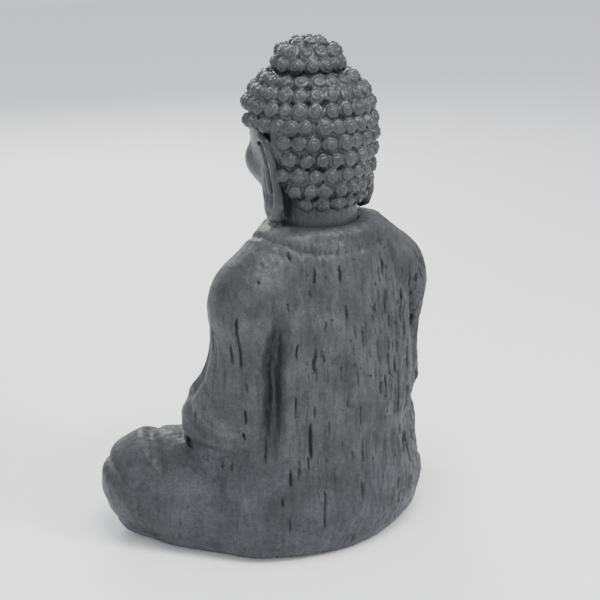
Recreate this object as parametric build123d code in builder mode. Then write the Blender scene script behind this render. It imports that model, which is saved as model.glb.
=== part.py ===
from build123d import *

import functools
import math
import os

# Seated Buddha garden statue: a hollow fibre-clay body and head, each laid up in a front and a back half of a
# mould and bonded along the parting plane. The head stands on a dowel in a socket in the robe's collar, and a
# slab closes the underside.
# Millimetres, +Z up. The statue faces -Y and its left hand is towards +X. The origin is the middle of the
# standing face.

# Overall sizes
collar_height = 458.0  # standing face to the top of the robe's collar
head_height = 242.0  # collar to the top of the crown bump
knee_x = 196.0  # middle plane to the centre of a knee
shoulder_x = 111.0  # middle plane to the centre of a shoulder

# Robed body
wall = 12.0
parting_y = 48.0  # parting plane, through the shoulders, hips and neck and just behind the ears
edge_radius = 28.0  # rounding between the robe's sides and the standing face
edge_inset = 0.8  # share of that radius by which the standing face is smaller
skin_blend = 14.0  # softness of the blend between the masses

# Base plate in the underside
rim_width = 14.0  # ring that the statue stands on, round the plate's opening
base_thickness = 14.0
base_joint = 3.0  # bonded gap round the plate
bead_recess = 2.0
drain_radius = 8.0
drain_y = 60.0

# Neck joint: socket, mortar bed, dowel and its plugs
neck_radius = 56.0
neck_y = 42.0
neck_gap = 0.8  # clearance of the neck in its socket
collar_wall = 10.0  # thickness of the collar round the neck
socket_depth = 15.0
socket_floor = 19.0  # thickness of clay under the socket
bed_thickness = 4.0
body_bore_radius = 34.0
head_bore_radius = 36.0
head_plug_length = 28.0
dowel_radius = 8.0
dowel_length = 150.0
dowel_chamfer = 1.5

# Head
head_y = 26.0
hair_rise = 23.0  # collar to the lowest row of curls
hair_radius = 90.0
hair_widest = 99.0  # lowest row to the widest level of the hair
hairline_rise = 140.0  # collar to the hairline over the brow
hair_front_y = 51.0  # the curls below the hairline start here, behind the ears
cranium_rows = 9
row_taper = 0.65  # height of the top row over the height of the bottom row
hair_fullness = 2.2  # power of the superellipse that the scalp follows
nape_fullness = 1.46  # where the scalp would close below the widest level, over hair_widest
crown_root = 10.0  # how far above the cranium the scalp would close
crown_radius = 50.0
crown_height = 40.0  # crown bump above the cranium
crown_rows = 3
curl_bulge = 5.0  # how far a row of curls stands out between its grooves
chin_rise = 19.0
face_half_width = 74.0
face_half_depth = 91.0
jaw_share = 0.46  # size of the face at the chin over its size at the cheeks
cheek_share = 0.6  # height of the cheeks over the height of the face
jaw_forward = 0.75  # how far the narrow jaw stands forward, over what it lacks in depth
ear_length = 125.0
ear_width = 32.0
ear_root = 3.0  # how far the ear's inner face is let into the head
ear_reach = 93.0  # middle plane to the ear's outer face
ear_rise = 2.0  # collar to the tip of the lobe
ear_lean = 6.0  # degrees, lobe towards the back
ear_edge = 3.5
head_hollow_radius = 61.0
head_hollow_rise = 22.0  # collar to the lowest point of the hollow
crown_wall = 46.0  # thickness between the hollow and the top of the crown

# Glass-fibre strips over the inside seams
strip_width = 30.0
strip_thickness = 2.5

side_pitch = 22.0  # between the levels that the skin is drawn at
shoulder_pitch = 9.0
outline_points = 48
outline_centre_y = 20.0
closest_points = 3.0  # least distance from an outline's points to its ends at the parting plane
hollow_limit = 0.9  # how fast an outline may draw in from one spoke to the next
march = 4.0  # step of the search for the skin
tolerance = 0.02  # precision of the skin's place
cut_through = 1.0  # how far a cutting shape passes a face
BEYOND = 800.0  # larger than the statue, for cutting shapes

hair_bottom = collar_height + hair_rise
crown_top = collar_height + head_height
cranium_top = crown_top - crown_height
socket_z = collar_height - socket_depth
neck_foot = socket_z + bed_thickness
hollow_top = socket_z - socket_floor
shoulder_z = collar_height - 102
chest_z = collar_height - 123
elbow_z = 200.0
back_half_height = (collar_height - 78) / 2

# Masses of the robed body. Each limb is (start, end, start radius, end radius) and stands on both sides.
LIMBS = (
    ((42, 54, shoulder_z + 60), (shoulder_x, 50, shoulder_z + 4), 40, 52),  # collar to shoulder
    ((shoulder_x + 2, 49, chest_z), (shoulder_x + 23, 27, elbow_z), 49, 45),  # upper arm
    ((shoulder_x + 27, 4, elbow_z - 8), (45, -86, 152), 48, 30),  # forearm
    ((78, 36, 70), (knee_x, -80, 80), 74, 67),  # thigh
    ((knee_x - 4, -88, 72), (30, -104, 60), 60, 54),  # shin
    ((112, 42, 46), (knee_x - 34, -28, 46), 58, 60),  # robe spread on the ground beside the thigh
)
# Each trunk mass is (centre, radii) and stands on the middle plane.
TRUNK = (
    ((0, 64, 75), (138, 90, 110)),  # seat
    ((0, 70, back_half_height + 25), (130, 78, back_half_height)),  # back
    ((0, 64, chest_z), (112, 58, 100)),  # shoulder blades
    ((0, 16, chest_z - 13), (92, 46, 84)),  # chest
    ((0, 2, elbow_z + 15), (84, 50, 76)),  # belly
    ((0, -40, 84), (120, 76, 70)),  # lap
    ((0, -92, 146), (66, 36, 24)),  # hands
)
NAPE = (
    (0, neck_y + 12, collar_height - 68),
    (0, neck_y + 4, collar_height + 8),
    neck_radius + collar_wall + 6,
    neck_radius + collar_wall,
)


def limb_distance(point, start, end, start_radius, end_radius):
    """Distance from a point to a limb that tapers between two balls."""
    along = [e - s for s, e in zip(start, end)]
    away = [p - s for s, p in zip(start, point)]
    share = sum(a * b for a, b in zip(along, away)) / sum(a * a for a in along)
    share = min(1.0, max(0.0, share))
    gap = math.dist(away, [share * a for a in along])
    return gap - (start_radius + (end_radius - start_radius) * share)


def trunk_distance(point, centre, radii):
    """Distance from a point to an ellipsoid, near enough for a blend."""
    scaled = [(p - c) / r for p, c, r in zip(point, centre, radii)]
    near = math.hypot(*scaled)
    slope = math.hypot(*(s / r for s, r in zip(scaled, radii)))
    return near * (near - 1) / slope if slope else -min(radii)


def skin_distance(x, y, z):
    """Signed distance from the blended masses, the same left and right."""
    gaps = [trunk_distance((x, y, z), *mass) for mass in TRUNK]
    gaps += [limb_distance((abs(x), y, z), *limb) for limb in LIMBS]
    gaps.append(limb_distance((x, y, z), *NAPE))
    return -skin_blend * math.log(sum(math.exp(-gap / skin_blend) for gap in gaps))


def skin_crossing(angle, level, inset):
    """How far out along a spoke the skin lies, drawn in by inset: a march from outside, then halving."""
    direction = (math.cos(angle), math.sin(angle))

    def gap(radius):
        return inset + skin_distance(radius * direction[0], outline_centre_y + radius * direction[1], level)

    outside = BEYOND / 2
    while gap(outside - march) > 0 and outside > 2 * march:
        outside -= max(march, gap(outside - march) / 2)
    inside = outside - march
    while outside - inside > tolerance:
        middle = (outside + inside) / 2
        inside, outside = (inside, middle) if gap(middle) > 0 else (middle, outside)
    return outside


def side_distance(point, outline_ring):
    """Distance from a point to the nearest side of a closed outline."""
    nearest = BEYOND
    for start, end in zip(outline_ring, outline_ring[1:] + outline_ring[:1]):
        along = (end[0] - start[0], end[1] - start[1])
        away = (point[0] - start[0], point[1] - start[1])
        share = (along[0] * away[0] + along[1] * away[1]) / (along[0] ** 2 + along[1] ** 2)
        share = min(1.0, max(0.0, share))
        nearest = min(nearest, math.dist(away, (share * along[0], share * along[1])))
    return nearest


def drawn_in(outline_ring, amount):
    """An outline drawn in by an amount, measured square to its sides, along the same spokes."""
    ring = []
    for x, y in outline_ring:
        full = math.hypot(x, y - outline_centre_y)
        radius = full
        lack = amount
        while lack > tolerance and radius > lack:
            radius -= lack
            share = radius / full
            point = (share * x, outline_centre_y + share * (y - outline_centre_y))
            lack = amount - side_distance(point, outline_ring)
        ring.append(point if amount else (x, y))
    return ring


@functools.cache
def outline(level, inset=0.0):
    """Points round the body at a level, the skin drawn in by inset, with the rounding at the foot."""
    if level < edge_radius:
        rounding = edge_inset * (edge_radius - math.sqrt(edge_radius**2 - (edge_radius - level) ** 2))
        return drawn_in(outline(edge_radius, inset), rounding)
    spokes = [2 * math.pi * i / outline_points for i in range(outline_points)]
    reach = [skin_crossing(angle, level, inset) for angle in spokes]
    # Cloth bridges the hollow between an arm and the body, so no spoke falls far below its neighbours.
    keep = 1 - hollow_limit * 2 * math.pi / outline_points
    for _ in range(outline_points // 4):
        sides = zip(reach, reach[-1:] + reach[:-1], reach[1:] + reach[:1])
        reach = [max(here, before * keep, after * keep) for here, before, after in sides]
    sides = zip(reach, reach[-1:] + reach[:-1], reach[1:] + reach[:1])
    reach = [(before + 2 * here + after) / 4 for here, before, after in sides]
    return [(r * math.cos(a), outline_centre_y + r * math.sin(a)) for r, a in zip(reach, spokes)]


def levels_between(low, high):
    """Levels for a skin: close together on the rounding at the foot and over the shoulders, wider between."""
    levels = [edge_radius * (1 - math.cos(math.radians(a))) for a in (0, 22.5, 45, 67.5)]
    level = edge_radius
    while level < collar_height:
        levels.append(level)
        level += side_pitch if level < shoulder_z - side_pitch else shoulder_pitch
    inner = [level for level in levels if low + shoulder_pitch / 2 < level < high - shoulder_pitch / 2]
    return [low] + inner + [high]


def half_ring(points, front):
    """The part of an outline in front of or behind the parting plane, from one side to the other."""
    start = outline_points // 4 if front else 3 * outline_points // 4
    ring = points[start:] + points[:start]
    inside = [i for i, point in enumerate(ring) if (point[1] < parting_y) == front]
    ends = []
    for out, near in ((inside[0] - 1, inside[0]), (inside[-1] + 1, inside[-1])):
        (x0, y0), (x1, y1) = ring[out], ring[near]
        ends.append((x0 + (x1 - x0) * (parting_y - y0) / (y1 - y0), parting_y))
    kept = [ring[i] for i in inside]
    kept = [p for p in kept if min(math.dist(p, ends[0]), math.dist(p, ends[1])) > closest_points]
    return [ends[0]] + kept + [ends[1]]


def half_skin(low, high, inset, front):
    """A solid through the half outlines from low to high, closed by the parting plane."""
    with BuildPart() as made:
        for level in levels_between(low, high):
            points = half_ring(outline(level, inset), front)
            with BuildSketch(Plane.XY.offset(level)):
                with BuildLine():
                    Spline(*points)
                    Line(points[-1], points[0])
                make_face()
        loft(ruled=True)
    return made.part


def slab(inset, height):
    """The standing face's outline, drawn in by inset and raised from the ground by height."""
    edge = drawn_in(outline(0.0), inset)
    with BuildPart() as made:
        with BuildSketch():
            with BuildLine():
                Spline(*half_ring(edge, True))
                Spline(*half_ring(edge, False))
            make_face()
        extrude(amount=height)
    return made.part


def bar(radius, low, high):
    """A round bar on the neck's axis between two levels."""
    with BuildPart() as made:
        with BuildSketch(Plane((0, neck_y, low))):
            Circle(radius)
        extrude(amount=high - low)
    return made.part


def behind_parting(distance):
    """A block that fills everything further back than the parting plane plus a distance."""
    with BuildPart() as made:
        with Locations((0, parting_y + distance + BEYOND / 2, 0)):
            Box(BEYOND, BEYOND, 3 * BEYOND)
    return made.part


def save(piece, name):
    piece.label = name
    export_step(piece, f"parts/{name}.step")


os.makedirs("parts", exist_ok=True)

# Robed body: a front and a back shell, open underneath for the base plate and bored for the dowel.
def body_shell(name, front):
    with BuildPart() as made:
        add(half_skin(0.0, collar_height, 0.0, front))
        add(half_skin(base_thickness, hollow_top, wall, front), mode=Mode.SUBTRACT)
        add(slab(rim_width, base_thickness + cut_through), mode=Mode.SUBTRACT)
        add(bar(neck_radius + neck_gap, socket_z, collar_height + cut_through), mode=Mode.SUBTRACT)
        add(bar(body_bore_radius, hollow_top - cut_through, socket_z), mode=Mode.SUBTRACT)
    save(made.part, name)


body_shell("body_front_shell", True)
body_shell("body_back_shell", False)

# Strips of glass fibre laid over the body's two inside seams, left and right.
with BuildPart() as body_seam_strips:
    for front in (True, False):
        add(half_skin(base_thickness, hollow_top, wall, front))
    for front in (True, False):
        add(half_skin(base_thickness, hollow_top, wall + strip_thickness, front), mode=Mode.SUBTRACT)
    with Locations((0, parting_y, hollow_top / 2)):
        Box(BEYOND, strip_width, hollow_top - 4 * strip_width, mode=Mode.INTERSECT)
save(body_seam_strips.part, "body_seam_strips")

# Base plate set flush in the opening, and the bead of mortar that bonds it in, struck back from the ground.
with BuildPart() as base_plate:
    add(slab(rim_width + base_joint, base_thickness))
    with Locations((0, drain_y, 0)):
        Hole(drain_radius)
save(base_plate.part, "base_plate")

with BuildPart() as base_bond_bead:
    add(slab(rim_width, base_thickness))
    add(slab(rim_width + base_joint, base_thickness), mode=Mode.SUBTRACT)
    with Locations((0, 0, bead_recess - BEYOND / 2)):
        Box(BEYOND, BEYOND, BEYOND, mode=Mode.SUBTRACT)
save(base_bond_bead.part, "base_bond_bead")

# Dowel through the neck joint, with the mortar that holds it.
dowel_middle = socket_z + bed_thickness / 2
with BuildPart() as neck_dowel:
    add(bar(dowel_radius, dowel_middle - dowel_length / 2, dowel_middle + dowel_length / 2))
    chamfer(neck_dowel.edges().filter_by(GeomType.CIRCLE), dowel_chamfer)
save(neck_dowel.part, "neck_dowel")


def mortar(name, radius, low, high):
    """A disc of mortar packed round the dowel."""
    with BuildPart() as made:
        add(bar(radius, low, high))
        add(bar(dowel_radius, low - cut_through, high + cut_through), mode=Mode.SUBTRACT)
    save(made.part, name)


mortar("lower_dowel_plug", body_bore_radius, hollow_top, socket_z)
mortar("neck_mortar_bed", neck_radius, socket_z, neck_foot)
mortar("upper_dowel_plug", head_bore_radius, neck_foot, neck_foot + head_plug_length)


def hair_edge(z):
    """Radius of the scalp at a height: a superellipse, fuller below its widest level than above."""
    widest = hair_bottom + hair_widest
    reach = cranium_top + crown_root - widest if z > widest else nape_fullness * hair_widest
    share = abs(z - widest) / reach
    return hair_radius * (1 - share**hair_fullness) ** (1 / hair_fullness)


def row_marks():
    """Grooves between the rows of curls, as (radius, height), from the nape to the top of the crown."""
    ratios = [1 + (row_taper - 1) * i / (cranium_rows - 1) for i in range(cranium_rows)]
    pitch = (cranium_top - hair_bottom) / sum(ratios)
    heights = [hair_bottom + pitch * sum(ratios[:i]) for i in range(cranium_rows + 1)]
    marks = [(hair_edge(z), z) for z in heights[:-1]] + [(crown_radius, cranium_top)]
    for i in range(1, crown_rows + 1):
        angle = math.pi / 2 * i / crown_rows
        marks.append((crown_radius * math.cos(angle), cranium_top + crown_height * math.sin(angle)))
    return marks


def curl_profile():
    """Half outline of the hair, one bulging arc for each row, from the nape over the crown to the axis."""
    marks = row_marks()
    for (r0, z0), (r1, z1) in zip(marks[:-2], marks[1:-1]):
        length = math.dist((r0, z0), (r1, z1))
        out = (curl_bulge * (z1 - z0) / length, curl_bulge * (r0 - r1) / length)
        ThreePointArc((r0, z0), ((r0 + r1) / 2 + out[0], (z0 + z1) / 2 + out[1]), (r1, z1))
    # The top curl is a low dome that ends level on the axis.
    TangentArc((0, crown_top), marks[-2], tangent=(1, 0))
    Line((0, crown_top), (0, hair_bottom))
    Line((0, hair_bottom), marks[0])


def turned_hollow(shrink=0.0):
    """The inside of the head, a turned ellipse, drawn in by shrink."""
    low = collar_height + head_hollow_rise + shrink
    high = crown_top - crown_wall - shrink
    with BuildPart() as made:
        with BuildSketch(Plane.XZ.offset(-head_y)):
            with Locations((0, (low + high) / 2)):
                Ellipse(head_hollow_radius - shrink, (high - low) / 2)
            with Locations((-BEYOND / 2, 0)):
                Rectangle(BEYOND, 3 * BEYOND, mode=Mode.SUBTRACT)
        revolve(axis=Axis((0, head_y, 0), (0, 0, 1)))
    return made.part


# Head: turned rows of curls behind the ears and above the hairline, over a lofted face and skull.
hairline = collar_height + hairline_rise
with BuildPart() as hair:
    with BuildSketch(Plane.XZ.offset(-head_y)):
        with BuildLine():
            curl_profile()
        make_face()
    revolve(axis=Axis((0, head_y, 0), (0, 0, 1)))
    with Locations((0, hair_front_y - BEYOND / 2, hairline - BEYOND / 2)):
        Box(BEYOND, BEYOND, BEYOND, mode=Mode.SUBTRACT)

chin = collar_height + chin_rise
with BuildPart() as skull:
    for share in (0, 0.08, 0.2, 0.35, 0.55, 0.75, 1):
        size = jaw_share + (1 - jaw_share) * math.sin(math.pi / 2 * min(1, share / cheek_share))
        # The jaw tapers towards the front of the face, so its levels stand further forward.
        level_y = head_y - jaw_forward * face_half_depth * (1 - size)
        with BuildSketch(Plane((0, level_y, chin + share * (hairline + curl_bulge - chin)))):
            Ellipse(face_half_width * size, face_half_depth * size)
    loft()

# Long ears that end just in front of the parting plane, clear of the robe.
ear_tilt = math.radians(ear_lean)
ear_half_span = math.hypot(ear_width / 2 * math.cos(ear_tilt), ear_length / 2 * math.sin(ear_tilt))
ear_y = parting_y - cut_through - ear_half_span
with BuildPart() as ears:
    with BuildSketch(Plane.YZ.offset(ear_reach)):
        with Locations((ear_y, collar_height + ear_rise + ear_length / 2)):
            Ellipse(ear_width / 2, ear_length / 2, rotation=ear_lean)
    extrude(amount=face_half_width - ear_root - ear_reach)
    fillet(ears.edges(), ear_edge)
    mirror(about=Plane.YZ)

with BuildPart() as head:
    add(hair.part)
    add(skull.part)
    add(ears.part)
    add(bar(neck_radius, neck_foot, chin + (hairline - chin) / 2))
    add(turned_hollow(), mode=Mode.SUBTRACT)
    add(bar(head_bore_radius, neck_foot - cut_through, neck_foot + 2 * head_plug_length), mode=Mode.SUBTRACT)

with BuildPart() as head_front_shell:
    add(head.part)
    add(behind_parting(0), mode=Mode.SUBTRACT)
save(head_front_shell.part, "head_front_shell")

with BuildPart() as head_back_shell:
    add(head.part)
    add(behind_parting(0), mode=Mode.INTERSECT)
save(head_back_shell.part, "head_back_shell")

# Strip of glass fibre over the head's inside seam, an arch from one side over to the other.
with BuildPart() as head_seam_strip:
    add(turned_hollow())
    add(turned_hollow(strip_thickness), mode=Mode.SUBTRACT)
    with Locations((0, parting_y, neck_foot + 2 * head_plug_length + BEYOND / 2)):
        Box(BEYOND, strip_width, BEYOND, mode=Mode.INTERSECT)
save(head_seam_strip.part, "head_seam_strip")
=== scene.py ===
# Seated Buddha garden statue, cast in dark fibre-clay: the robed body, the slab under it, the neck joint
# and the head.
# Shapes are worked in millimetres and each finished mesh is turned into metres at the end.
import math

import bmesh
import bpy
import numpy as np
from mathutils import Matrix, Vector, kdtree, noise


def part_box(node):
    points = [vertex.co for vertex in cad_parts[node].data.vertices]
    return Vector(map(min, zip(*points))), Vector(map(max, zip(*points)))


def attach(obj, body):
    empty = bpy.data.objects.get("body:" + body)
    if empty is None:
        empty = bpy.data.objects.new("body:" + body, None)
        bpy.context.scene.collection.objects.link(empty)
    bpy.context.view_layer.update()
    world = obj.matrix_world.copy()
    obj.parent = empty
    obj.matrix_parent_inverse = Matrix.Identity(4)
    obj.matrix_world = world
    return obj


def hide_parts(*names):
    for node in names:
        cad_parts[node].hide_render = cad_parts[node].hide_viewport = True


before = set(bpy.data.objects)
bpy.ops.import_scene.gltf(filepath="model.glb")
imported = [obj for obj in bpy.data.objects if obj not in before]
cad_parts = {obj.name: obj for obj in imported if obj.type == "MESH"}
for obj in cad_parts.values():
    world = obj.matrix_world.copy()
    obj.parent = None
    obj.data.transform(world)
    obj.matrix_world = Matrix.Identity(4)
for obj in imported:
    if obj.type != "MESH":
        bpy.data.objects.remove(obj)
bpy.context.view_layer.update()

# Robed body, front and back castings. One figure in thick cloth is modelled whole: trunk, arms, hands and
# crossed legs melt together under the robe, which is then creased and cracked and parted down the sides.
parting_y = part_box("body_back_shell")[0].y * 1000
collar_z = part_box("body_back_shell")[1].z * 1000
body_voxel = 2.65
cloth_blend = 14.0
foot_rounding = 28.0
collar_rounding = 7.0

# (centre, radii) on the middle plane
TRUNK = [
    ((0, 64, 75), (138, 90, 110)),
    ((0, 70, 215), (130, 78, 190)),
    ((0, 64, 335), (112, 58, 100)),
    ((0, -40, 84), (120, 76, 70)),
    ((0, 16, 322), (92, 46, 84)),
    ((0, 2, 215), (84, 50, 76)),
]
# (start, end, start radius, end radius), on both sides
LIMBS = [
    ((42, 54, 416), (111, 50, 360), 40, 52),
    ((54, 52, 424), (104, 50, 380), 38, 43),
    ((112, 49, 335), (134, 27, 200), 46, 45),
    ((138, 4, 192), (45, -86, 152), 48, 30),
    ((78, 36, 70), (196, -80, 80), 74, 67),
    ((192, -88, 72), (30, -104, 60), 60, 54),
    ((112, 42, 46), (162, -28, 46), 58, 60),
]
NAPE = ((0, 54, 390), (0, 46, 466), 72, 66)
# Hands in the lap, the right lying on the left.
HANDS = [
    ((38, -84, 152), (10, -98, 147), 21, 17),
    ((-40, -84, 160), (-8, -98, 162), 21, 16),
    ((30, -92, 176), (3, -103, 190), 10, 7.5),
    ((-30, -92, 182), (-3, -103, 190), 10, 7.5),
]
for finger in range(4):
    out = -76 - 14.5 * finger
    reach = 46 - 3 * abs(finger - 1.5)
    HANDS.append(((-8, out + 2, 164), (reach, out, 157 - finger), 8.6, 6.8))
    HANDS.append(((8, out + 2, 148), (-reach - 4, out, 143 - finger), 8.6, 6.8))


def ellipsoid_gap(points, centre, radii):
    """Rough distance from each point to an ellipsoid, negative inside."""
    scaled = (points - np.array(centre, float)) / np.array(radii, float)
    near = np.linalg.norm(scaled, axis=1)
    slope = np.linalg.norm(scaled / np.array(radii, float), axis=1)
    return near * (near - 1) / np.maximum(slope, 1e-6)


def limb_gap(points, start, end, start_radius, end_radius):
    """Distance from each point to a limb that tapers between two balls, negative inside."""
    start, end = np.array(start, float), np.array(end, float)
    along = end - start
    share = np.clip((points - start) @ along / (along @ along), 0, 1)
    away = points - start - share[:, None] * along
    return np.linalg.norm(away, axis=1) - (start_radius + (end_radius - start_radius) * share)


def soft_union(gaps, blend):
    """Distances to several masses that melt into each other."""
    lowest = np.min(gaps, axis=0)
    return lowest - blend * np.log(sum(np.exp(-(gap - lowest) / blend) for gap in gaps))


def both_sides(points):
    """The same points folded onto the left side."""
    return np.column_stack([abs(points[:, 0]), points[:, 1], points[:, 2]])


def ball(shape, centre, radii, subdivisions=4):
    place = Matrix.LocRotScale(Vector(centre), None, Vector(radii))
    bmesh.ops.create_icosphere(shape, subdivisions=subdivisions, radius=1, matrix=place)


def limb(shape, start, end, start_radius, end_radius):
    start, end = Vector(start), Vector(end)
    ball(shape, start, [start_radius] * 3, 3)
    ball(shape, end, [end_radius] * 3, 3)
    place = Matrix.Translation((start + end) / 2) @ (end - start).to_track_quat("Z", "Y").to_matrix().to_4x4()
    bmesh.ops.create_cone(
        shape, cap_ends=True, segments=32, radius1=start_radius, radius2=end_radius,
        depth=(end - start).length, matrix=place,
    )


def mirrored(limbs):
    """The limbs again on the right side."""
    return limbs + [((-a[0], *a[1:]), (-b[0], *b[1:]), r, s) for a, b, r, s in limbs]


def melted(shape, voxel, name):
    """One closed skin round everything in the shape, as a mesh."""
    mesh = bpy.data.meshes.new(name)
    shape.to_mesh(mesh)
    shape.free()
    piece = bpy.data.objects.new(name, mesh)
    bpy.context.collection.objects.link(piece)
    remesh = piece.modifiers.new("skin", "REMESH")
    remesh.mode = "VOXEL"
    remesh.voxel_size = voxel
    skin = bpy.data.meshes.new_from_object(piece.evaluated_get(bpy.context.evaluated_depsgraph_get()))
    bpy.data.objects.remove(piece)
    bpy.data.meshes.remove(mesh)
    return skin


def read_points(mesh):
    points = np.zeros(len(mesh.vertices) * 3)
    mesh.vertices.foreach_get("co", points)
    return points.reshape(-1, 3)


def write_points(mesh, points):
    mesh.vertices.foreach_set("co", points.ravel())
    mesh.update()


def read_normals(mesh):
    normals = np.zeros(len(mesh.vertices) * 3)
    mesh.vertices.foreach_get("normal", normals)
    return normals.reshape(-1, 3)


def settle(mesh, gap, rounds=4, share=None):
    """Moves every point onto the surface where gap is nought."""
    points = read_points(mesh)
    share = np.ones(len(points)) if share is None else share
    for _ in range(rounds):
        here = gap(points)
        slope = np.column_stack([gap(points + step) - here for step in np.eye(3) * 0.5]) / 0.5
        length2 = np.maximum((slope**2).sum(axis=1), 0.25)
        points -= (np.clip(here, -12, 12) * share / length2)[:, None] * slope
    write_points(mesh, points)


def relax(mesh, rounds, strength=0.5, share=None):
    """Evens out the skin: each point moves towards the middle of its neighbours."""
    edges = np.zeros(len(mesh.edges) * 2, int)
    mesh.edges.foreach_get("vertices", edges)
    a, b = edges.reshape(-1, 2).T
    points = read_points(mesh)
    count = np.bincount(a, minlength=len(points)) + np.bincount(b, minlength=len(points))
    for _ in range(rounds):
        total = np.zeros_like(points)
        for axis in range(3):
            total[:, axis] = np.bincount(a, points[b, axis], len(points))
            total[:, axis] += np.bincount(b, points[a, axis], len(points))
        move = strength * (total / count[:, None] - points)
        points += move if share is None else move * share[:, None]
    write_points(mesh, points)


def hollowness(mesh):
    """How deep each point lies below its neighbours, in shares of a millimetre: positive in grooves."""
    edges = np.zeros(len(mesh.edges) * 2, int)
    mesh.edges.foreach_get("vertices", edges)
    a, b = edges.reshape(-1, 2).T
    points, normals = read_points(mesh), read_normals(mesh)
    count = np.bincount(a, minlength=len(points)) + np.bincount(b, minlength=len(points))
    deep = points
    for _ in range(3):
        total = np.column_stack([
            np.bincount(a, deep[b, axis], len(points)) + np.bincount(b, deep[a, axis], len(points))
            for axis in range(3)
        ])
        deep = total / count[:, None]
    return ((deep - points) * normals).sum(axis=1)


def keep_values(mesh, name, values):
    layer = mesh.attributes.new(name, "FLOAT", "POINT")
    layer.data.foreach_set("value", values.astype(np.float32))


def path_through(points, step=4.0):
    """Close points along a smooth curve through the given ones."""
    points = [np.array(p, float) for p in points]
    ends = [2 * points[0] - points[1], *points, 2 * points[-1] - points[-2]]
    path = []
    for before, a, b, after in zip(ends, ends[1:], ends[2:], ends[3:]):
        pieces = max(2, int(np.linalg.norm(b - a) / step))
        for t in np.arange(pieces) / pieces:
            path.append(0.5 * (2 * a + (b - before) * t + (2 * before - 5 * a + 4 * b - after) * t**2
                               + (3 * a - before - 3 * b + after) * t**3))
    return path + [points[-1]]


class Skin:
    """A mesh being modelled: its points, its normals, and a finder of the nearest point."""

    def __init__(self, mesh):
        self.mesh = mesh
        self.points, self.normals = read_points(mesh), read_normals(mesh)
        self.finder = kdtree.KDTree(len(self.points))
        for index, point in enumerate(self.points):
            self.finder.insert(point, index)
        self.finder.balance()
        self.push = np.zeros(len(self.points))
        self.cut = np.zeros(len(self.points))
        self.crack = np.zeros(len(self.points))
        self.fold_shade = np.zeros(len(self.points))

    def laid(self, path):
        """The path moved onto the skin."""
        return np.array([self.finder.find(p)[0] for p in path])

    def along(self, path, width):
        """Points near a path, their distance to it, and how far along it they are from 0 to 1."""
        low, high = path.min(axis=0) - 3 * width, path.max(axis=0) + 3 * width
        near = np.nonzero(((self.points > low) & (self.points < high)).all(axis=1))[0]
        best, where = np.full(len(near), 1e9), np.zeros(len(near))
        for i, (a, b) in enumerate(zip(path, path[1:])):
            line = b - a
            share = np.clip((self.points[near] - a) @ line / max(line @ line, 1e-9), 0, 1)
            gap = np.linalg.norm(self.points[near] - a - share[:, None] * line, axis=1)
            closer = gap < best
            best[closer] = gap[closer]
            where[closer] = (i + share[closer]) / (len(path) - 1)
        return near, best, where

    def crease(self, points, depth, width, lip=0.35):
        """A groove that fades at its ends, with a soft lip on both sides; a negative depth is a ridge."""
        near, gap, where = self.along(self.laid(path_through(points)), width)
        fade = np.clip(4 * np.minimum(where, 1 - where), 0, 1) ** 0.7
        shape = np.exp(-((gap / width) ** 2)) - lip * np.exp(-(((gap - 1.9 * width) / width) ** 2))
        self.push[near] -= depth * fade * shape
        # Mask of painted shade along the groove, taken from its depth.
        self.fold_shade[near] = np.maximum(self.fold_shade[near], depth * fade * np.exp(-((gap / width) ** 2)))

    def split(self, path, depth, width):
        """A narrow sharp crack along a path already on the skin."""
        near, gap, where = self.along(path, width)
        fade = (4 * where * (1 - where)) ** 0.45
        shape = np.clip(1.3 * fade - gap / width, 0, 1)
        self.crack[near] = np.maximum(self.crack[near], shape)
        self.cut[near] = np.maximum(self.cut[near], depth * shape)

    def done(self):
        write_points(self.mesh, self.points + (self.push - self.cut)[:, None] * self.normals)


def robe_gap(points):
    """Distance to the robed figure, rounded in at the foot and cut level at the ground and the collar."""
    raised = np.column_stack([points[:, :2], np.maximum(points[:, 2], foot_rounding)])
    sides = both_sides(raised)
    gaps = [ellipsoid_gap(raised, *mass) for mass in TRUNK] + [limb_gap(sides, *mass) for mass in LIMBS]
    robe = soft_union(gaps + [limb_gap(raised, *NAPE)], cloth_blend)
    rise = np.clip(foot_rounding - points[:, 2], 0, foot_rounding)
    tuck = 0.8 + 0.3 * np.clip((sides[:, 0] - 130) / 60, 0, 1)
    robe += tuck * (foot_rounding - np.sqrt(foot_rounding**2 - rise**2))
    hands = soft_union([limb_gap(points, *hand) for hand in HANDS], 1.6)
    figure = soft_union([robe, hands], 2.0)
    over = points[:, 2] - collar_z
    out, up = figure + collar_rounding, over + collar_rounding
    edge = np.hypot(np.maximum(out, 0), np.maximum(up, 0)) - collar_rounding
    at_edge = (figure > -collar_rounding) & (over > -collar_rounding)
    rounded = np.where(at_edge, edge, np.maximum(figure, over))
    return np.maximum(rounded, -points[:, 2])


shape = bmesh.new()
for centre, radii in TRUNK:
    ball(shape, centre, radii)
for mass in mirrored(LIMBS) + [NAPE] + HANDS:
    limb(shape, *mass)
body_mesh = melted(shape, body_voxel, "robed_body")
relax(body_mesh, 3)
settle(body_mesh, robe_gap)
relax(body_mesh, 1)
settle(body_mesh, robe_gap, 2)

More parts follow.
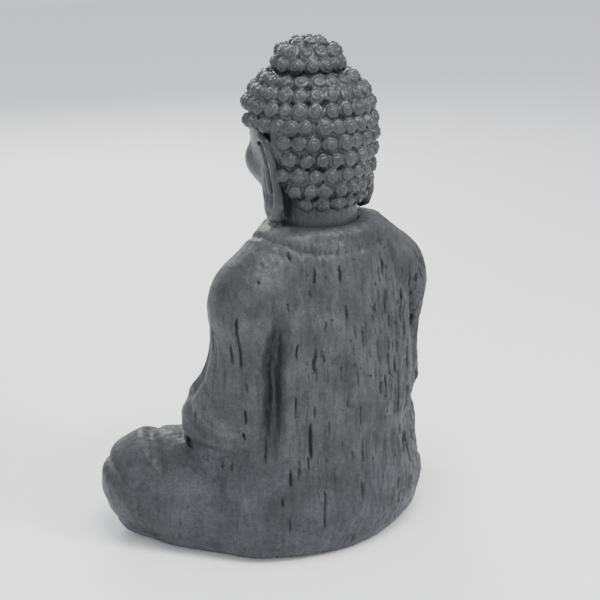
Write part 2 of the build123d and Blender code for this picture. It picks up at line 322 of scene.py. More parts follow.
# Creases of the robe: (points, depth, width), on the left side and mirrored to the right.
CREASES = [
    ([(110, 110, 370), (115, 110, 320), (120, 105, 270), (120, 105, 220), (125, 100, 150)], 15.0, 12),
    ([(146, 84, 300), (150, 80, 250), (146, 82, 205)], 2.4, 9),
    ([(172, 20, 262), (176, 44, 232), (168, 66, 212), (150, 82, 196)], 2.6, 8),
    ([(178, -4, 226), (182, 26, 200), (170, 58, 178), (148, 78, 164)], 3.2, 8),
    ([(160, 60, 162), (180, 24, 158), (176, -30, 158), (140, -80, 166)], 4.5, 10),
    ([(186, 14, 150), (176, 44, 118), (168, 62, 80), (164, 66, 40)], 3.0, 11),
    ([(60, 128, 300), (64, 130, 240), (58, 138, 180), (62, 142, 120)], 2.2, 8),
    ([(20, 138, 330), (26, 146, 260), (22, 150, 190), (28, 152, 120)], 1.8, 8),
    ([(118, 62, 128), (150, 70, 96), (160, 62, 60), (150, 60, 30)], 2.6, 12),
    ([(66, -10, 438), (84, -22, 400), (84, -44, 340), (60, -62, 285), (20, -70, 250)], 4.6, 6),
    ([(102, -8, 398), (114, -24, 340), (104, -44, 280), (74, -62, 235), (30, -72, 212)], 5.0, 8),
    ([(130, -4, 360), (146, -16, 300), (146, -34, 240), (118, -62, 205)], 5.4, 9),
    ([(160, 12, 330), (172, 8, 280), (176, -4, 230), (160, -30, 200)], 4.4, 9),
    ([(150, -60, 172), (128, -96, 160), (98, -118, 148), (70, -126, 140)], 4.6, 7),
    ([(214, -20, 118), (196, -84, 140), (140, -124, 132), (70, -142, 120), (20, -150, 108)], 5.2, 8),
    ([(252, -60, 92), (232, -120, 104), (170, -150, 100), (90, -160, 92), (24, -160, 84)], 5.6, 8),
    ([(256, -90, 56), (220, -142, 66), (150, -160, 66), (70, -164, 62), (20, -162, 56)], 5.2, 8),
    ([(236, -120, 26), (180, -156, 36), (100, -164, 36), (40, -164, 30)], 4.0, 8),
    ([(6, -150, 104), (12, -158, 66), (22, -158, 14)], 4.0, 5),
    ([(20, -152, 96), (34, -160, 60), (54, -158, 16)], 3.6, 5),
]
# The edge of the robe over the chest stands up as a band, and so does the collar's lower edge.
BANDS = [
    ([(60, 6, 452), (72, -14, 420), (64, -36, 372), (38, -48, 322), (0, -52, 296)], -4.6, 5),
    ([(0, 118, 428), (44, 106, 428), (70, 76, 428), (82, 40, 426), (76, 6, 424)], 2.4, 4.2),
]
skin = Skin(body_mesh)
for points, depth, width in CREASES + BANDS:
    for side in (1, -1):
        skin.crease([(side * x, y, z) for x, y, z in points], depth, width)
skin.done()
relax(body_mesh, 1, 0.4)
# The creases get painted shade in their colour from this mask.
keep_values(body_mesh, "fold_shade", np.clip(skin.fold_shade / 14, 0, 1))


def bark(point):
    """Height of the weathered, wood-like surface: upright ridges and furrows, and softer lumps."""
    x, y, z = point
    sway = 4 * noise.noise(Vector((x / 40, y / 40, z / 50)))
    ridges = 0.6 - 2 * abs(noise.noise(Vector(((x + sway) / 9, y / 9, z / 70))))
    furrows = noise.noise(Vector(((x + sway) / 5, y / 5, z / 28 + 3)))
    lumps = noise.noise(Vector((x / 24, y / 24, z / 36 + 7)))
    grain = noise.noise(Vector((x / 3.4, y / 3.4, z / 7)))
    return 1.7 * ridges + 1.3 * furrows + 1.3 * lumps + 0.5 * grain


def roughen(mesh, amount):
    points, normals = read_points(mesh), read_normals(mesh)
    height = np.array([bark(p) for p in points])
    write_points(mesh, points + (height * amount(points, normals))[:, None] * normals)


def bark_amount(points, normals):
    """The back is rough all over; the arms, knees, hands and chest are rubbed smoother."""
    back = np.clip((normals[:, 1] + 0.2) / 0.7, 0, 1)
    left_arm = np.clip((points[:, 0] - 105) / 40, 0, 1)
    foot = np.clip((points[:, 2] - 20) / 60, 0, 1)
    steep = 1 - 0.75 * np.clip((abs(normals[:, 2]) - 0.3) / 0.4, 0, 1)
    return 0.26 + 0.9 * back * (1 - 0.7 * left_arm) * (0.4 + 0.6 * foot) * steep


roughen(body_mesh, bark_amount)

# Weathering cracks run down the robe, most of them on the back towards its right side.
chance = np.random.default_rng(21)


def crack_density(point, normal):
    x, y, z = point
    if z < 16 or z > 446:
        return 0
    if normal[1] > 0.15:
        across = np.interp(x, (-175, -120, -20, 60, 100, 130), (1, 1, 0.8, 0.55, 0.3, 0.08))
        return across * np.interp(z, (20, 60, 160, 280, 430), (0.2, 0.3, 0.5, 1, 0.9))
    if x < -90 and z > 110:
        return 0.14
    if normal[1] < -0.2 and y < -60:
        return 0.015
    return 0.05


def crack_path(skin, start, length, lean=0.0, wander=0.05):
    """A slightly ragged path down the skin."""
    path, heading = [], lean
    point = Vector(start)
    for _ in range(max(3, int(length / 3.5))):
        near, index, _ = skin.finder.find(point)
        path.append(np.array(near))
        normal = Vector(skin.normals[index])
        side = normal.cross(Vector((0, 0, 1)))
        if side.length < 0.1:
            break
        side.normalize()
        heading = 0.7 * heading + 0.3 * lean + wander * chance.normal()
        down = side.cross(normal)
        down = down if down.z < 0 else -down
        point = near + 3.5 * (down + heading * side).normalized()
    return np.array(path)


# The deepest cracks run down the back and both sides, spread evenly over the height.
skin = Skin(body_mesh)
cracks = []
main_cracks = 30
all_cracks = 380
crack_circle = 160.0
even_spread = 0.618  # each crack starts this share of the height above the one before, wrapped round
for number in range(main_cracks):
    turn = math.radians(25 + 130 * chance.random())
    height = 80 + 350 * ((number * even_spread) % 1)
    start = (crack_circle * math.cos(turn), crack_circle * math.sin(turn), height)
    length = 18 + 70 * chance.random() ** 2
    depth = 3.5 + 2 * chance.random()
    cracks.append((crack_path(skin, start, length, 0.0, 0.04), depth, min(2.0, 0.7 + length / 45)))
while len(cracks) < all_cracks:
    index = chance.integers(len(skin.points))
    if chance.random() > crack_density(skin.points[index], skin.normals[index]):
        continue
    size = chance.random() ** 2.2
    path = crack_path(skin, skin.points[index], 9 + 42 * size, 0.06 * chance.normal())
    if len(path) > 2:
        cracks.append((path, 1.2 + 2.6 * size + 0.8 * chance.random(), 0.95 + 0.8 * size))
for path, depth, width in cracks:
    skin.split(path, depth, width)

# The skin is drawn finer where it is cracked, and then the cracks are cut.
fine = bmesh.new()
fine.from_mesh(body_mesh)
fine.verts.ensure_lookup_table()
cracked = [e for e in fine.edges if skin.crack[e.verts[0].index] + skin.crack[e.verts[1].index] > 0.1]
bmesh.ops.subdivide_edges(fine, edges=cracked, cuts=1, use_grid_fill=True)
fine.to_mesh(body_mesh)
fine.free()
skin = Skin(body_mesh)
for path, depth, width in cracks:
    skin.split(path, depth, width)
skin.done()
relax(body_mesh, 1, 0.35, np.clip(2 * skin.crack, 0, 1))

points = read_points(body_mesh)
points[:, 2] = np.maximum(points[:, 2], 0)
write_points(body_mesh, points)
# The crack mask paints the cracks near black: dark paint in them, and painted shade.
keep_values(body_mesh, "crack", skin.crack)
# Hollows are darkened in colour: dark paint in them, and painted shade.
keep_values(body_mesh, "hollow_paint_and_shade", hollowness(body_mesh))


def parted(mesh, name, behind):
    """The front or the back of a mesh, closed at the parting plane and turned into metres."""
    half = bmesh.new()
    half.from_mesh(mesh)
    cut = bmesh.ops.bisect_plane(
        half, geom=half.verts[:] + half.edges[:] + half.faces[:], plane_co=(0, parting_y, 0),
        plane_no=(0, 1, 0), clear_inner=behind, clear_outer=not behind,
    )
    rim = [e for e in cut["geom_cut"] if isinstance(e, bmesh.types.BMEdge)]
    cap = bmesh.ops.triangle_fill(half, use_beauty=True, edges=rim, normal=(0, -1 if behind else 1, 0))
    for face in half.faces:
        face.smooth = True
    for face in cap["geom"]:
        if isinstance(face, bmesh.types.BMFace):
            face.smooth = False
    for edge in rim:
        edge.smooth = False
    bmesh.ops.scale(half, vec=(0.001, 0.001, 0.001), verts=half.verts)
    finished = bpy.data.meshes.new(name)
    half.to_mesh(finished)
    half.free()
    piece = bpy.data.objects.new(name, finished)
    bpy.context.collection.objects.link(piece)
    return piece


def clay(name, base, light, streaks=1.0, shine=0.1):
    """Dark charcoal fibre-clay: mottled, pitted, darker in cracks and hollows from dark paint and painted shade
    there, with painted shade along the creases, darker and bluer towards the bottom, and a faint waxy shine.
    """
    material = bpy.data.materials.new(name)
    material.use_nodes = True
    nodes, links = material.node_tree.nodes, material.node_tree.links
    shader = nodes["Principled BSDF"]
    place = nodes.new("ShaderNodeTexCoord").outputs["Object"]

    def speckle(scale, detail, stretch=(1, 1, 1), roughness=0.55, kind="FBM"):
        turn = nodes.new("ShaderNodeMapping")
        turn.inputs["Scale"].default_value = stretch
        links.new(place, turn.inputs["Vector"])
        pattern = nodes.new("ShaderNodeTexNoise")
        pattern.noise_type = kind
        pattern.inputs["Scale"].default_value = scale
        pattern.inputs["Detail"].default_value = detail
        pattern.inputs["Roughness"].default_value = roughness
        links.new(turn.outputs["Vector"], pattern.inputs["Vector"])
        return pattern.outputs["Fac"]

    def ramp(source, low, high, start=(0, 0, 0, 1), end=(1, 1, 1, 1)):
        band = nodes.new("ShaderNodeValToRGB")
        band.color_ramp.elements[0].position = low
        band.color_ramp.elements[1].position = high
        band.color_ramp.elements[0].color = start
        band.color_ramp.elements[1].color = end
        links.new(source, band.inputs["Fac"])
        return band.outputs["Color"]

    def blended(way, share, first, second):
        mix = nodes.new("ShaderNodeMix")
        mix.data_type, mix.blend_type = "RGBA", way
        for socket, value in (("Factor", share), ("A", first), ("B", second)):
            target = next(s for s in mix.inputs if s.name == socket and (s.type == "RGBA" or socket == "Factor"))
            if isinstance(value, bpy.types.NodeSocket):
                links.new(value, target)
            else:
                target.default_value = value
        return next(s for s in mix.outputs if s.type == "RGBA")

    def kept(attribute):
        node = nodes.new("ShaderNodeAttribute")
        node.attribute_name = attribute
        return node.outputs["Fac"]

    colour = ramp(speckle(22, 6), 0.32, 0.68, base, light)
    # Darker and bluer towards the bottom: fully below 4 cm, fading out by 26 cm.
    apart = nodes.new("ShaderNodeSeparateXYZ")
    links.new(place, apart.inputs["Vector"])
    darker_low = ramp(apart.outputs["Z"], 0.04, 0.26, (0.68, 0.73, 0.86, 1), (1, 1, 1, 1))
    colour = blended("MULTIPLY", 1.0, colour, darker_low)
    fine_spots = ramp(speckle(420, 3), 0.36, 0.62, (0.55, 0.55, 0.56, 1), (1.25, 1.25, 1.24, 1))
    colour = blended("MULTIPLY", 0.8, colour, fine_spots)
    upright = ramp(speckle(70, 4, (1, 1, 0.16)), 0.3, 0.7, (0.66, 0.66, 0.67, 1), (1.26, 1.26, 1.25, 1))
    colour = blended("MULTIPLY", 0.7 * streaks, colour, upright)
    slits = ramp(speckle(150, 3, (1, 1, 0.085), 0.5), 0.58, 0.68, (1, 1, 1, 1), (0.42, 0.42, 0.43, 1))
    colour = blended("MULTIPLY", 0.75 * streaks, colour, slits)
    # Painted shade along the robe's creases, darkest where they are deepest.
    folded = ramp(kept("fold_shade"), 0.05, 0.9, (1, 1, 1, 1), (0.3, 0.3, 0.32, 1))
    colour = blended("MULTIPLY", 1.0, colour, folded)
    # Dark paint and painted shade in the hollows, darker the deeper they are.
    colour = blended("MIX", ramp(kept("hollow_paint_and_shade"), 0.05, 0.9), colour, (0.02, 0.02, 0.022, 1))
    # Cracks near black: dark paint in them, and painted shade.
    colour = blended("MIX", ramp(kept("crack"), 0.1, 0.75), colour, (0.011, 0.011, 0.012, 1))
    links.new(colour, shader.inputs["Base Color"])
    roughness = ramp(speckle(160, 3), 0.3, 0.7, (0.5, 0.5, 0.5, 1), (0.8, 0.8, 0.8, 1))
    links.new(roughness, shader.inputs["Roughness"])
    shader.inputs["Specular IOR Level"].default_value = 0.45
    shader.inputs["Coat Weight"].default_value = shine
    shader.inputs["Coat Roughness"].default_value = 0.22
    height = None
    for source, strength, depth in (
        (speckle(95, 5, (1, 1, 0.25), 0.6), 0.6 * streaks, 0.0018),
        (slits, 0.5 * streaks, 0.0012),
        (speckle(360, 4, (1, 1, 0.55), 0.65), 0.7, 0.0007),
        (speckle(950, 2), 0.55, 0.0003),
    ):
        bump = nodes.new("ShaderNodeBump")
        bump.inputs["Strength"].default_value = strength
        bump.inputs["Distance"].default_value = depth
        links.new(source, bump.inputs["Height"])
        if height is not None:
            links.new(height, bump.inputs["Normal"])
        height = bump.outputs["Normal"]
    links.new(height, shader.inputs["Normal"])
    return material


def filled_outline(node, level, low, high):
    """A block with the outer outline that a node has at a level, to cut the seat of that node."""
    block = bmesh.new()
    block.from_mesh(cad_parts[node].data)
    bmesh.ops.remove_doubles(block, verts=block.verts, dist=1e-6)
    bmesh.ops.bisect_plane(
        block, geom=block.verts[:] + block.edges[:] + block.faces[:], plane_co=(0, 0, level),
        plane_no=(0, 0, 1), clear_inner=True, clear_outer=True,
    )
    bmesh.ops.remove_doubles(block, verts=block.verts, dist=1e-5)
    outermost = max(block.verts, key=lambda v: v.co.x)
    ring, ahead = {outermost}, [outermost]
    while ahead:
        for edge in ahead.pop().link_edges:
            for vert in edge.verts:
                if vert not in ring:
                    ring.add(vert)
                    ahead.append(vert)
    bmesh.ops.delete(block, geom=[v for v in block.verts if v not in ring], context="VERTS")
    bmesh.ops.contextual_create(block, geom=block.edges[:])
    bmesh.ops.translate(block, vec=(0, 0, low - level), verts=block.verts)
    raised = bmesh.ops.extrude_face_region(block, geom=block.faces[:])
    bmesh.ops.translate(
        block, vec=(0, 0, high - low), verts=[v for v in raised["geom"] if isinstance(v, bmesh.types.BMVert)]
    )
    bmesh.ops.recalc_face_normals(block, faces=block.faces)
    return block


def cut_away(piece, block):
    """Takes the block out of the piece."""
    mesh = bpy.data.meshes.new("block")
    block.to_mesh(mesh)
    tool = bpy.data.objects.new("block", mesh)
    bpy.context.collection.objects.link(tool)
    cut = piece.modifiers.new("seat", "BOOLEAN")
    cut.object, cut.operation, cut.solver = tool, "DIFFERENCE", "EXACT"
    done = bpy.data.meshes.new_from_object(piece.evaluated_get(bpy.context.evaluated_depsgraph_get()))
    piece.modifiers.clear()
    piece.data = done
    bpy.data.objects.remove(tool)
    bpy.data.meshes.remove(mesh)


plate_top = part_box("base_plate")[1].z
bed_low, bed_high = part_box("neck_mortar_bed")
socket_clearance = 0.0008
underside = filled_outline("base_bond_bead", plate_top / 2, -plate_top, plate_top)
socket = bmesh.new()
bmesh.ops.create_cone(
    socket, cap_ends=True, segments=128, radius1=bed_high.x + socket_clearance,
    radius2=bed_high.x + socket_clearance, depth=0.1,
    matrix=Matrix.Translation((0, (bed_low.y + bed_high.y) / 2, bed_low.z + 0.05)),
)
robe_clay = clay("robe_clay", (0.0165, 0.0165, 0.0185, 1), (0.055, 0.055, 0.0585, 1))
for node, behind in (("body_front_shell", False), ("body_back_shell", True)):
    piece = parted(body_mesh, node.replace("shell", "casting"), behind)
    cut_away(piece, underside)
    cut_away(piece, socket)
    piece.data.materials.clear()
    piece.data.materials.append(robe_clay)
    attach(piece, "root")
    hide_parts(node)

# Base plate and its bead. A cast slab closes the underside and a bead of sand mortar bonds it in: pale, gritty and
# trowelled.
mortar_finish = bpy.data.materials.new("sand_mortar")
mortar_finish.use_nodes = True
nodes, links = mortar_finish.node_tree.nodes, mortar_finish.node_tree.links
place = nodes.new("ShaderNodeTexCoord").outputs["Object"]
grit = nodes.new("ShaderNodeTexNoise")
grit.inputs["Scale"].default_value, grit.inputs["Detail"].default_value = 700, 4
trowelled = nodes.new("ShaderNodeTexNoise")
trowelled.inputs["Scale"].default_value, trowelled.inputs["Detail"].default_value = 30, 5
tone = nodes.new("ShaderNodeValToRGB")
tone.color_ramp.elements[0].position, tone.color_ramp.elements[1].position = 0.3, 0.7
tone.color_ramp.elements[0].color = (0.13, 0.128, 0.122, 1)
tone.color_ramp.elements[1].color = (0.23, 0.226, 0.215, 1)
rise = nodes.new("ShaderNodeBump")
rise.inputs["Strength"].default_value, rise.inputs["Distance"].default_value = 0.6, 0.0006
for pattern in (grit, trowelled):
    links.new(place, pattern.inputs["Vector"])
links.new(trowelled.outputs["Fac"], tone.inputs["Fac"])
links.new(tone.outputs["Color"], nodes["Principled BSDF"].inputs["Base Color"])
links.new(grit.outputs["Fac"], rise.inputs["Height"])
links.new(rise.outputs["Normal"], nodes["Principled BSDF"].inputs["Normal"])
nodes["Principled BSDF"].inputs["Roughness"].default_value = 0.88


def finish_node(name, material):
    """Gives a carried-over node its material."""
    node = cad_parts[name]
    if node.material_slots:
        for held in node.material_slots:
            held.link = "OBJECT"
            held.material = material
    else:
        node.data.materials.append(material)


for name in ("base_plate", "base_bond_bead"):
    finish_node(name, mortar_finish)

# Seam strips. Woven glass fibre in resin, laid over the inside of each seam while the halves were held shut.
weave = bpy.data.materials.new("glass_fibre_in_resin")
weave.use_nodes = True
nodes, links = weave.node_tree.nodes, weave.node_tree.links
place = nodes.new("ShaderNodeTexCoord").outputs["Object"]
height = None
for turn in (math.radians(45), math.radians(-45)):
    laid = nodes.new("ShaderNodeMapping")
    laid.inputs["Rotation"].default_value = (turn, 0, 0)
    threads = nodes.new("ShaderNodeTexWave")
    threads.bands_direction = "Y"
    threads.inputs["Scale"].default_value, threads.inputs["Distortion"].default_value = 160, 0.6
    raised = nodes.new("ShaderNodeBump")
    raised.inputs["Strength"].default_value, raised.inputs["Distance"].default_value = 0.5, 0.0004
    links.new(place, laid.inputs["Vector"])
    links.new(laid.outputs["Vector"], threads.inputs["Vector"])
    links.new(threads.outputs["Fac"], raised.inputs["Height"])
    if height is not None:
        links.new(height, raised.inputs["Normal"])
    height = raised.outputs["Normal"]
milky = nodes.new("ShaderNodeTexNoise")
milky.inputs["Scale"].default_value = 60
tone = nodes.new("ShaderNodeValToRGB")
tone.color_ramp.elements[0].color = (0.32, 0.34, 0.28, 1)
tone.color_ramp.elements[1].color = (0.5, 0.52, 0.46, 1)
links.new(place, milky.inputs["Vector"])
links.new(milky.outputs["Fac"], tone.inputs["Fac"])
links.new(tone.outputs["Color"], nodes["Principled BSDF"].inputs["Base Color"])
links.new(height, nodes["Principled BSDF"].inputs["Normal"])
nodes["Principled BSDF"].inputs["Roughness"].default_value = 0.35
for name in ("body_seam_strips", "head_seam_strip"):
    finish_node(name, weave)

# Neck joint. A ribbed steel dowel stands in mortar packed into both bores, with a thin bed of mortar
# under the neck.
steel = bpy.data.materials.new("drawn_steel")
steel.use_nodes = True
nodes, links = steel.node_tree.nodes, steel.node_tree.links
place = nodes.new("ShaderNodeTexCoord").outputs["Object"]
drawn = nodes.new("ShaderNodeMapping")
drawn.inputs["Scale"].default_value = (1, 1, 0.04)
marks = nodes.new("ShaderNodeTexNoise")
marks.inputs["Scale"].default_value = 900
tone = nodes.new("ShaderNodeValToRGB")
tone.color_ramp.elements[0].color = (0.3, 0.3, 0.31, 1)
tone.color_ramp.elements[1].color = (0.56, 0.56, 0.57, 1)
links.new(place, drawn.inputs["Vector"])
links.new(drawn.outputs["Vector"], marks.inputs["Vector"])
links.new(marks.outputs["Fac"], tone.inputs["Fac"])
links.new(tone.outputs["Color"], nodes["Principled BSDF"].inputs["Base Color"])
nodes["Principled BSDF"].inputs["Metallic"].default_value = 1
nodes["Principled BSDF"].inputs["Roughness"].default_value = 0.42
finish_node("neck_dowel", steel)
for name in ("lower_dowel_plug", "neck_mortar_bed", "upper_dowel_plug"):
    finish_node(name, mortar_finish)

# Head, front and back castings. The face, skull, long ears and neck are one smooth form, and the hair is set with
# snail-shell curls in rows over the scalp and the crown bump. It is parted where the body is, just behind the ears.
head_voxel = 1.3
hairline_z = 600.0
behind_ears_y = 51.0  # the hair starts here beside the top of the ears, and further back lower down
ear_top_z = 575.0
hair_slant = 0.14
neck_foot_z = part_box("neck_mortar_bed")[1].z * 1000

head = bmesh.new()


def half_ball(shape, centre, radii, cut_at, cut_facing):
    """An ellipsoid of which only the side that the cut faces is kept."""
    part = bmesh.new()
    ball(part, centre, radii)
    cut = bmesh.ops.bisect_plane(
        part, geom=part.verts[:] + part.edges[:] + part.faces[:], plane_co=cut_at, plane_no=cut_facing,
        clear_inner=True,
    )
    rim = [e for e in cut["geom_cut"] if isinstance(e, bmesh.types.BMEdge)]
    bmesh.ops.triangle_fill(part, edges=rim, use_beauty=True)
    held = bpy.data.meshes.new("half_ball")
    part.to_mesh(held)
    part.free()
    shape.from_mesh(held)
    bpy.data.meshes.remove(held)


# Face and skull: (centre, radii) and (start, end, start radius, end radius), softly joined.
SKULL = [
    ((0, 24, 575), (73, 86, 92)),
    ((0, -2, 522), (58, 57, 50)),
    ((0, -44, 491), (19, 15, 14)),
    ((36, -24, 531), (27, 29, 27)),
    ((-36, -24, 531), (27, 29, 27)),
]
FEATURES = [
    ((9, -56, 580), (36, -47, 586), 7, 5.5),
    ((36, -47, 586), (57, -28, 577), 5.5, 4),
    ((0, -58, 574), (0, -70, 536), 5.5, 8.5),
    ((7, -65, 532), (9.5, -63, 532), 6, 5.5),
    ((14, -51, 562), (39, -44, 563), 8.5, 8),
    ((0, -57.5, 513.5), (9, -56, 514), 4.6, 4),
    ((9, -56, 514), (18, -51, 512.5), 4, 2.2),
    ((0, -56.5, 504.5), (13, -52.5, 506.5), 5.4, 3.4),
]
NECK = ((0, 42, neck_foot_z - 30), (0, 40, 520), 56, 55)
for centre, radii in SKULL:
    ball(head, centre, radii)
for mass in mirrored(FEATURES) + [NECK]:
    limb(head, *mass)


def face_gap(points):
    gaps = [ellipsoid_gap(points, *mass) for mass in SKULL]
    form = soft_union(gaps + [limb_gap(points, *NECK)], 5.0)
    return soft_union([form] + [limb_gap(both_sides(points), *mass) for mass in FEATURES], 1.8)


# Ears: a thin leaf with a rolled rim, an inner ridge and a heavy lobe, on both sides.
EAR = [
    ((75, 12, 553), (79, 19, 570), 4.5, 5),
    ((79, 19, 570), (82, 32, 577), 5, 5.5),
    ((82, 32, 577), (82, 45, 568), 5.5, 5.5),
    ((82, 45, 568), (80, 53, 545), 5.5, 5.5),
    ((80, 53, 545), (77, 59, 512), 5.5, 5.5),
    ((77, 59, 512), (75, 60, 488), 5.5, 7),
    ((75, 60, 488), (74, 53, 472), 7, 8),
    ((74, 12, 553), (70, 18, 520), 4.5, 5),
    ((70, 18, 520), (70, 30, 488), 5, 6.5),
    ((70, 30, 488), (73, 42, 472), 6.5, 8),
    ((73, 42, 472), (74, 53, 472), 8, 8),
    ((79, 30, 562), (79, 41, 537), 4.2, 4.2),
    ((79, 41, 537), (76, 44, 505), 4.2, 4.5),
]
for mass in mirrored(EAR):
    limb(head, *mass)
for side in (1, -1):
    ball(head, (side * 72, 37, 530), (6, 20, 45))
    ball(head, (side * 72, 44, 482), (8.5, 19, 21))
    ball(head, (side * 64, 36, 545), (15, 17, 32))

# Scalp under the curls, behind the ears and above the hairline.
slant = (0, 1, hair_slant)
half_ball(head, (0, 26, 574), (85, 86, 89), (0, behind_ears_y, ear_top_z), slant)
half_ball(head, (0, 29, 522), (78, 79, 46), (0, behind_ears_y, ear_top_z), slant)
half_ball(head, (0, 26, 574), (85, 85, 89), (0, 0, hairline_z), (0, 0.1, 1))
ball(head, (0, 24, 655), (41, 41, 37))

# Rows of curls up the scalp: radius of the hair at heights, then rings of curls that lean with it.
HAIR_RADII = [
    (476, 72), (483, 77), (500, 84), (515, 88), (550, 92.5),
    (580, 93.5), (605, 91), (625, 84.5), (642, 73), (655, 58),
]
row_pitch, curl_radius, curl_height = 21.4, 11.4, 10.6
brow_fullness = 1.06  # the hair stands out further over the brow than behind
fate = np.random.default_rng(5)
heights = np.array([z for z, _ in HAIR_RADII], float)
radii = np.array([r for _, r in HAIR_RADII], float)
far_up = np.concatenate([[0], np.cumsum(np.hypot(np.diff(heights), np.diff(radii)))])
curls = []


def add_ring(radius, z, lean, start, centre_y, size):
    """A ring of curls round the head; lean is the angle at which they look upwards."""
    number = round(2 * math.pi * radius / (1.88 * size))
    for i in range(number):
        angle = 2 * math.pi * (i + start) / number + 0.018 * fate.normal()
        facing = Vector((math.cos(angle) * math.cos(lean), math.sin(angle) * math.cos(lean), math.sin(lean)))
        depth = radius * math.sin(angle) * (1 if math.sin(angle) > 0 else brow_fullness)
        centre = Vector((radius * math.cos(angle), centre_y + depth, z)) - 0.82 * size * facing
        centre += 0.35 * Vector(fate.normal(size=3))
        edge = hairline_z + 10 - 16 * (abs(centre.x) / 75) ** 2
        front = behind_ears_y + 6 + hair_slant * (ear_top_z - centre.z)
        if centre.y > front or centre.z > edge:
            curl_size = size * (1 + 0.04 * fate.normal())
            curls.append((centre, facing, curl_size, fate.uniform(0, 6.28), fate.choice((-1, 1))))


rows = int(far_up[-1] / row_pitch)
for row in range(rows):
    up = (row + 0.62) * far_up[-1] / rows
    z, radius = np.interp(up, far_up, heights), np.interp(up, far_up, radii)
    step = np.interp([up - 4, up + 4], far_up, radii)
    rise = np.interp([up - 4, up + 4], far_up, heights)
    lean = math.atan2(step[0] - step[1], rise[1] - rise[0])
    add_ring(radius, z, lean, 0.5 * (row % 2) + 0.25, 26, curl_radius)
add_ring(50, 664, 0.15, 0.25, 24, 12.2)
add_ring(41.5, 683, 0.75, 0.6, 24, 11.2)
add_ring(20, 695.5, 1.2, 0.1, 24, 10.4)
curls.append((Vector((0, 24, 690)), Vector((0, 0, 1)), 10.0, 0.0, 1))
for centre, facing, size, _, _ in curls:
    part = Matrix.Translation(centre) @ facing.to_track_quat("Z", "Y").to_matrix().to_4x4()
    part = part @ Matrix.Diagonal((size, size, curl_height / curl_radius * size, 1))
    bmesh.ops.create_icosphere(head, subdivisions=3, radius=1, matrix=part)

head_mesh = melted(head, head_voxel, "head")
foot = bmesh.new()
foot.from_mesh(head_mesh)
cut = bmesh.ops.bisect_plane(
    foot, geom=foot.verts[:] + foot.edges[:] + foot.faces[:], plane_co=(0, 0, neck_foot_z), plane_no=(0, 0, -1),
    clear_outer=True,
)
rim = [e for e in cut["geom_cut"] if isinstance(e, bmesh.types.BMEdge)]
bmesh.ops.triangle_fill(foot, edges=rim, use_beauty=True)
foot.to_mesh(head_mesh)
foot.free()
points = read_points(head_mesh)
smooth_face = np.clip((20 - points[:, 1]) / 8, 0, 1) * np.clip((hairline_z - 3 - points[:, 2]) / 6, 0, 1)
smooth_face *= np.clip((84 - abs(points[:, 0])) / 6, 0, 1)
relax(head_mesh, 2, 0.5, np.maximum(smooth_face, 0.25))
settle(head_mesh, face_gap, 4, smooth_face)
points = read_points(head_mesh)
hair_front = behind_ears_y - 3 + hair_slant * (ear_top_z - points[:, 2])
near_ear = ((abs(points[:, 0]) > 52) & (points[:, 1] < hair_front) & (points[:, 2] < 590)).astype(float)
low_neck = ((points[:, 2] < 490) & (points[:, 2] > neck_foot_z + 4) & (abs(points[:, 0]) < 66)).astype(float)
relax(head_mesh, 3, 0.5, np.maximum(near_ear, low_neck) * 0.8)

# Each curl is wound like a snail shell: one groove that spirals out from a small knob.
points, normals = read_points(head_mesh), read_normals(head_mesh)
finder = kdtree.KDTree(len(curls))
for index, curl in enumerate(curls):
    finder.insert(curl[0], index)
finder.balance()
wind_pitch, groove_depth = 4.8, 1.35
push = np.zeros(len(points))
for index, point in enumerate(points):
    if point[2] < 480 or (smooth_face[index] > 0.1 and point[2] < hairline_z - 12):
        continue
    centre, which, gap = finder.find(point)
    _, facing, size, turn, hand = curls[which]
    if gap > size * 1.25:
        continue
    out = Vector(point) - centre
    flat = out - out.dot(facing) * facing
    if out.dot(facing) < 0:
        continue
    across = facing.orthogonal().normalized()
    angle = math.atan2(flat.dot(facing.cross(across)), flat.dot(across))
    wound = flat.length / wind_pitch - hand * (angle + turn) / (2 * math.pi)
    groove = (0.5 + 0.5 * math.cos(2 * math.pi * wound)) ** 2
    inner = min(1, flat.length / 1.5)
    push[index] = -groove_depth * groove * inner
write_points(head_mesh, points + push[:, None] * normals)
relax(head_mesh, 1, 0.35)

skin = Skin(head_mesh)
FACE_LINES = [
    ([(13, -58, 563), (20, -61, 559.5), (28, -60, 558.5), (36, -56, 560), (42, -50, 563)], 1.5, 1.3),
    ([(13, -58, 568), (21, -61, 571), (29, -59, 571.5), (38, -54, 570), (45, -46, 566)], 0.8, 1.3),
    ([(8, -74, 528), (11, -70, 526)], 1.2, 1.8),
    ([(14, -66, 538), (15.5, -64, 531), (13, -64, 526)], 0.9, 1.6),
    ([(0, -66, 509), (6, -66, 509.6), (12, -63, 509), (19, -58, 511)], 1.9, 1.4),
    ([(20, -57, 513), (21, -56, 508)], 0.8, 1.8),
    ([(0, -58, 497), (8, -57, 497.5)], 1.0, 3.5),
]
for points, depth, width in FACE_LINES:
    for side in (1, -1):
        skin.crease([(side * x, y, z) for x, y, z in points], depth, width, 0.15)
skin.crease([(0, -68, 525), (0, -66, 518)], 1.0, 2.0, 0.2)
skin.done()


def head_amount(points, normals):
    """The neck and hair are as rough as the robe, and the face is smooth."""
    return 0.12 + 0.3 * np.clip((points[:, 1] - 10) / 40, 0, 1)


roughen(head_mesh, head_amount)
# The head has no cracks and no painted crease shade: both masks are nought.
for name in ("crack", "fold_shade"):
    keep_values(head_mesh, name, np.zeros(len(head_mesh.vertices)))
# Dark paint and painted shade between the curls and in the face's hollows.
keep_values(head_mesh, "hollow_paint_and_shade", 1.6 * hollowness(head_mesh))

head_clay = clay("head_clay", (0.011, 0.011, 0.0125, 1), (0.039, 0.039, 0.042, 1), 0.4, 0.35)
for node, behind in (("head_front_shell", False), ("head_back_shell", True)):
    piece = parted(head_mesh, node.replace("shell", "casting"), behind)
    piece.data.materials.append(head_clay)
    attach(piece, "root")
    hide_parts(node)

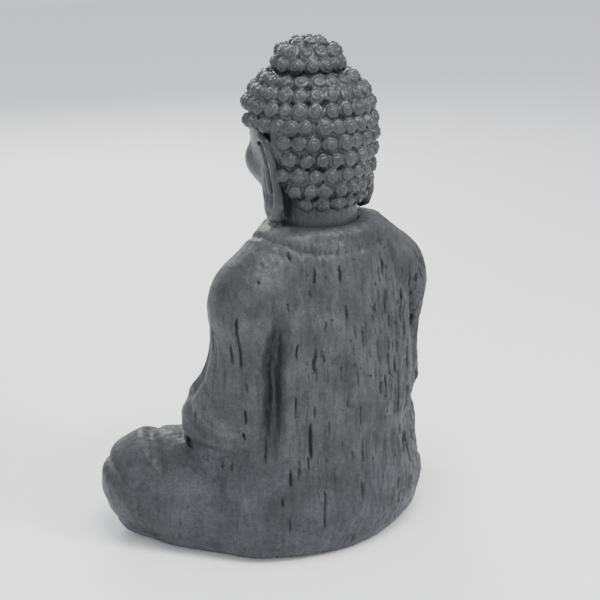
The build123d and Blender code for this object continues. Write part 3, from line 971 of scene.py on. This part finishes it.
# Floor, soft studio light and the camera, behind the figure's left shoulder and a little above it.
floor_mesh = bpy.data.meshes.new("floor")
flat = bmesh.new()
bmesh.ops.create_grid(flat, x_segments=1, y_segments=1, size=6)
flat.to_mesh(floor_mesh)
flat.free()
floor = bpy.data.objects.new("floor", floor_mesh)
bpy.context.collection.objects.link(floor)
paper = bpy.data.materials.new("pale_floor")
paper.use_nodes = True
paper.node_tree.nodes["Principled BSDF"].inputs["Base Color"].default_value = (0.93, 0.93, 0.93, 1)
paper.node_tree.nodes["Principled BSDF"].inputs["Roughness"].default_value = 0.9
floor_mesh.materials.append(paper)

world = bpy.data.worlds.new("studio")
world.use_nodes = True
world.node_tree.nodes["Background"].inputs["Color"].default_value = (0.93, 0.95, 1, 1)
world.node_tree.nodes["Background"].inputs["Strength"].default_value = 0.95
bpy.context.scene.world = world


def lamp(name, place, aim, size, power, colour=(1, 1, 1)):
    light = bpy.data.lights.new(name, "AREA")
    light.size, light.energy, light.color = size, power, colour
    holder = bpy.data.objects.new(name, light)
    holder.matrix_world = Matrix.Translation(place) @ (
        (Vector(place) - Vector(aim)).to_track_quat("Z", "Y").to_matrix().to_4x4()
    )
    bpy.context.collection.objects.link(holder)


middle = Vector((0, 0.02, 0.33))
lamp("overhead", (0.2, 0.7, 2.6), middle, 1.2, 62)
lamp("key", (-1.0, 1.9, 2.3), middle, 0.4, 50)
lamp("fill", (2.4, 0.9, 1.2), middle, 1.6, 20, (0.93, 0.96, 1))
lamp("front", (-0.8, -2.4, 1.7), middle, 1.4, 55)

azimuth, elevation, distance = math.radians(143), math.radians(19), 1.87
target = Vector((0, 0.025, 0.33))
back = Vector((
    math.sin(azimuth) * math.cos(elevation), -math.cos(azimuth) * math.cos(elevation), math.sin(elevation),
))
camera = bpy.data.cameras.new("camera")
camera.lens, camera.sensor_width = 81, 36
camera.shift_x, camera.shift_y = -0.015, 0.005
viewer = bpy.data.objects.new("camera", camera)
aimed = back.to_track_quat("Z", "Y").to_matrix().to_4x4()
viewer.matrix_world = Matrix.Translation(target + distance * back) @ aimed
bpy.context.collection.objects.link(viewer)
bpy.context.scene.camera = viewer
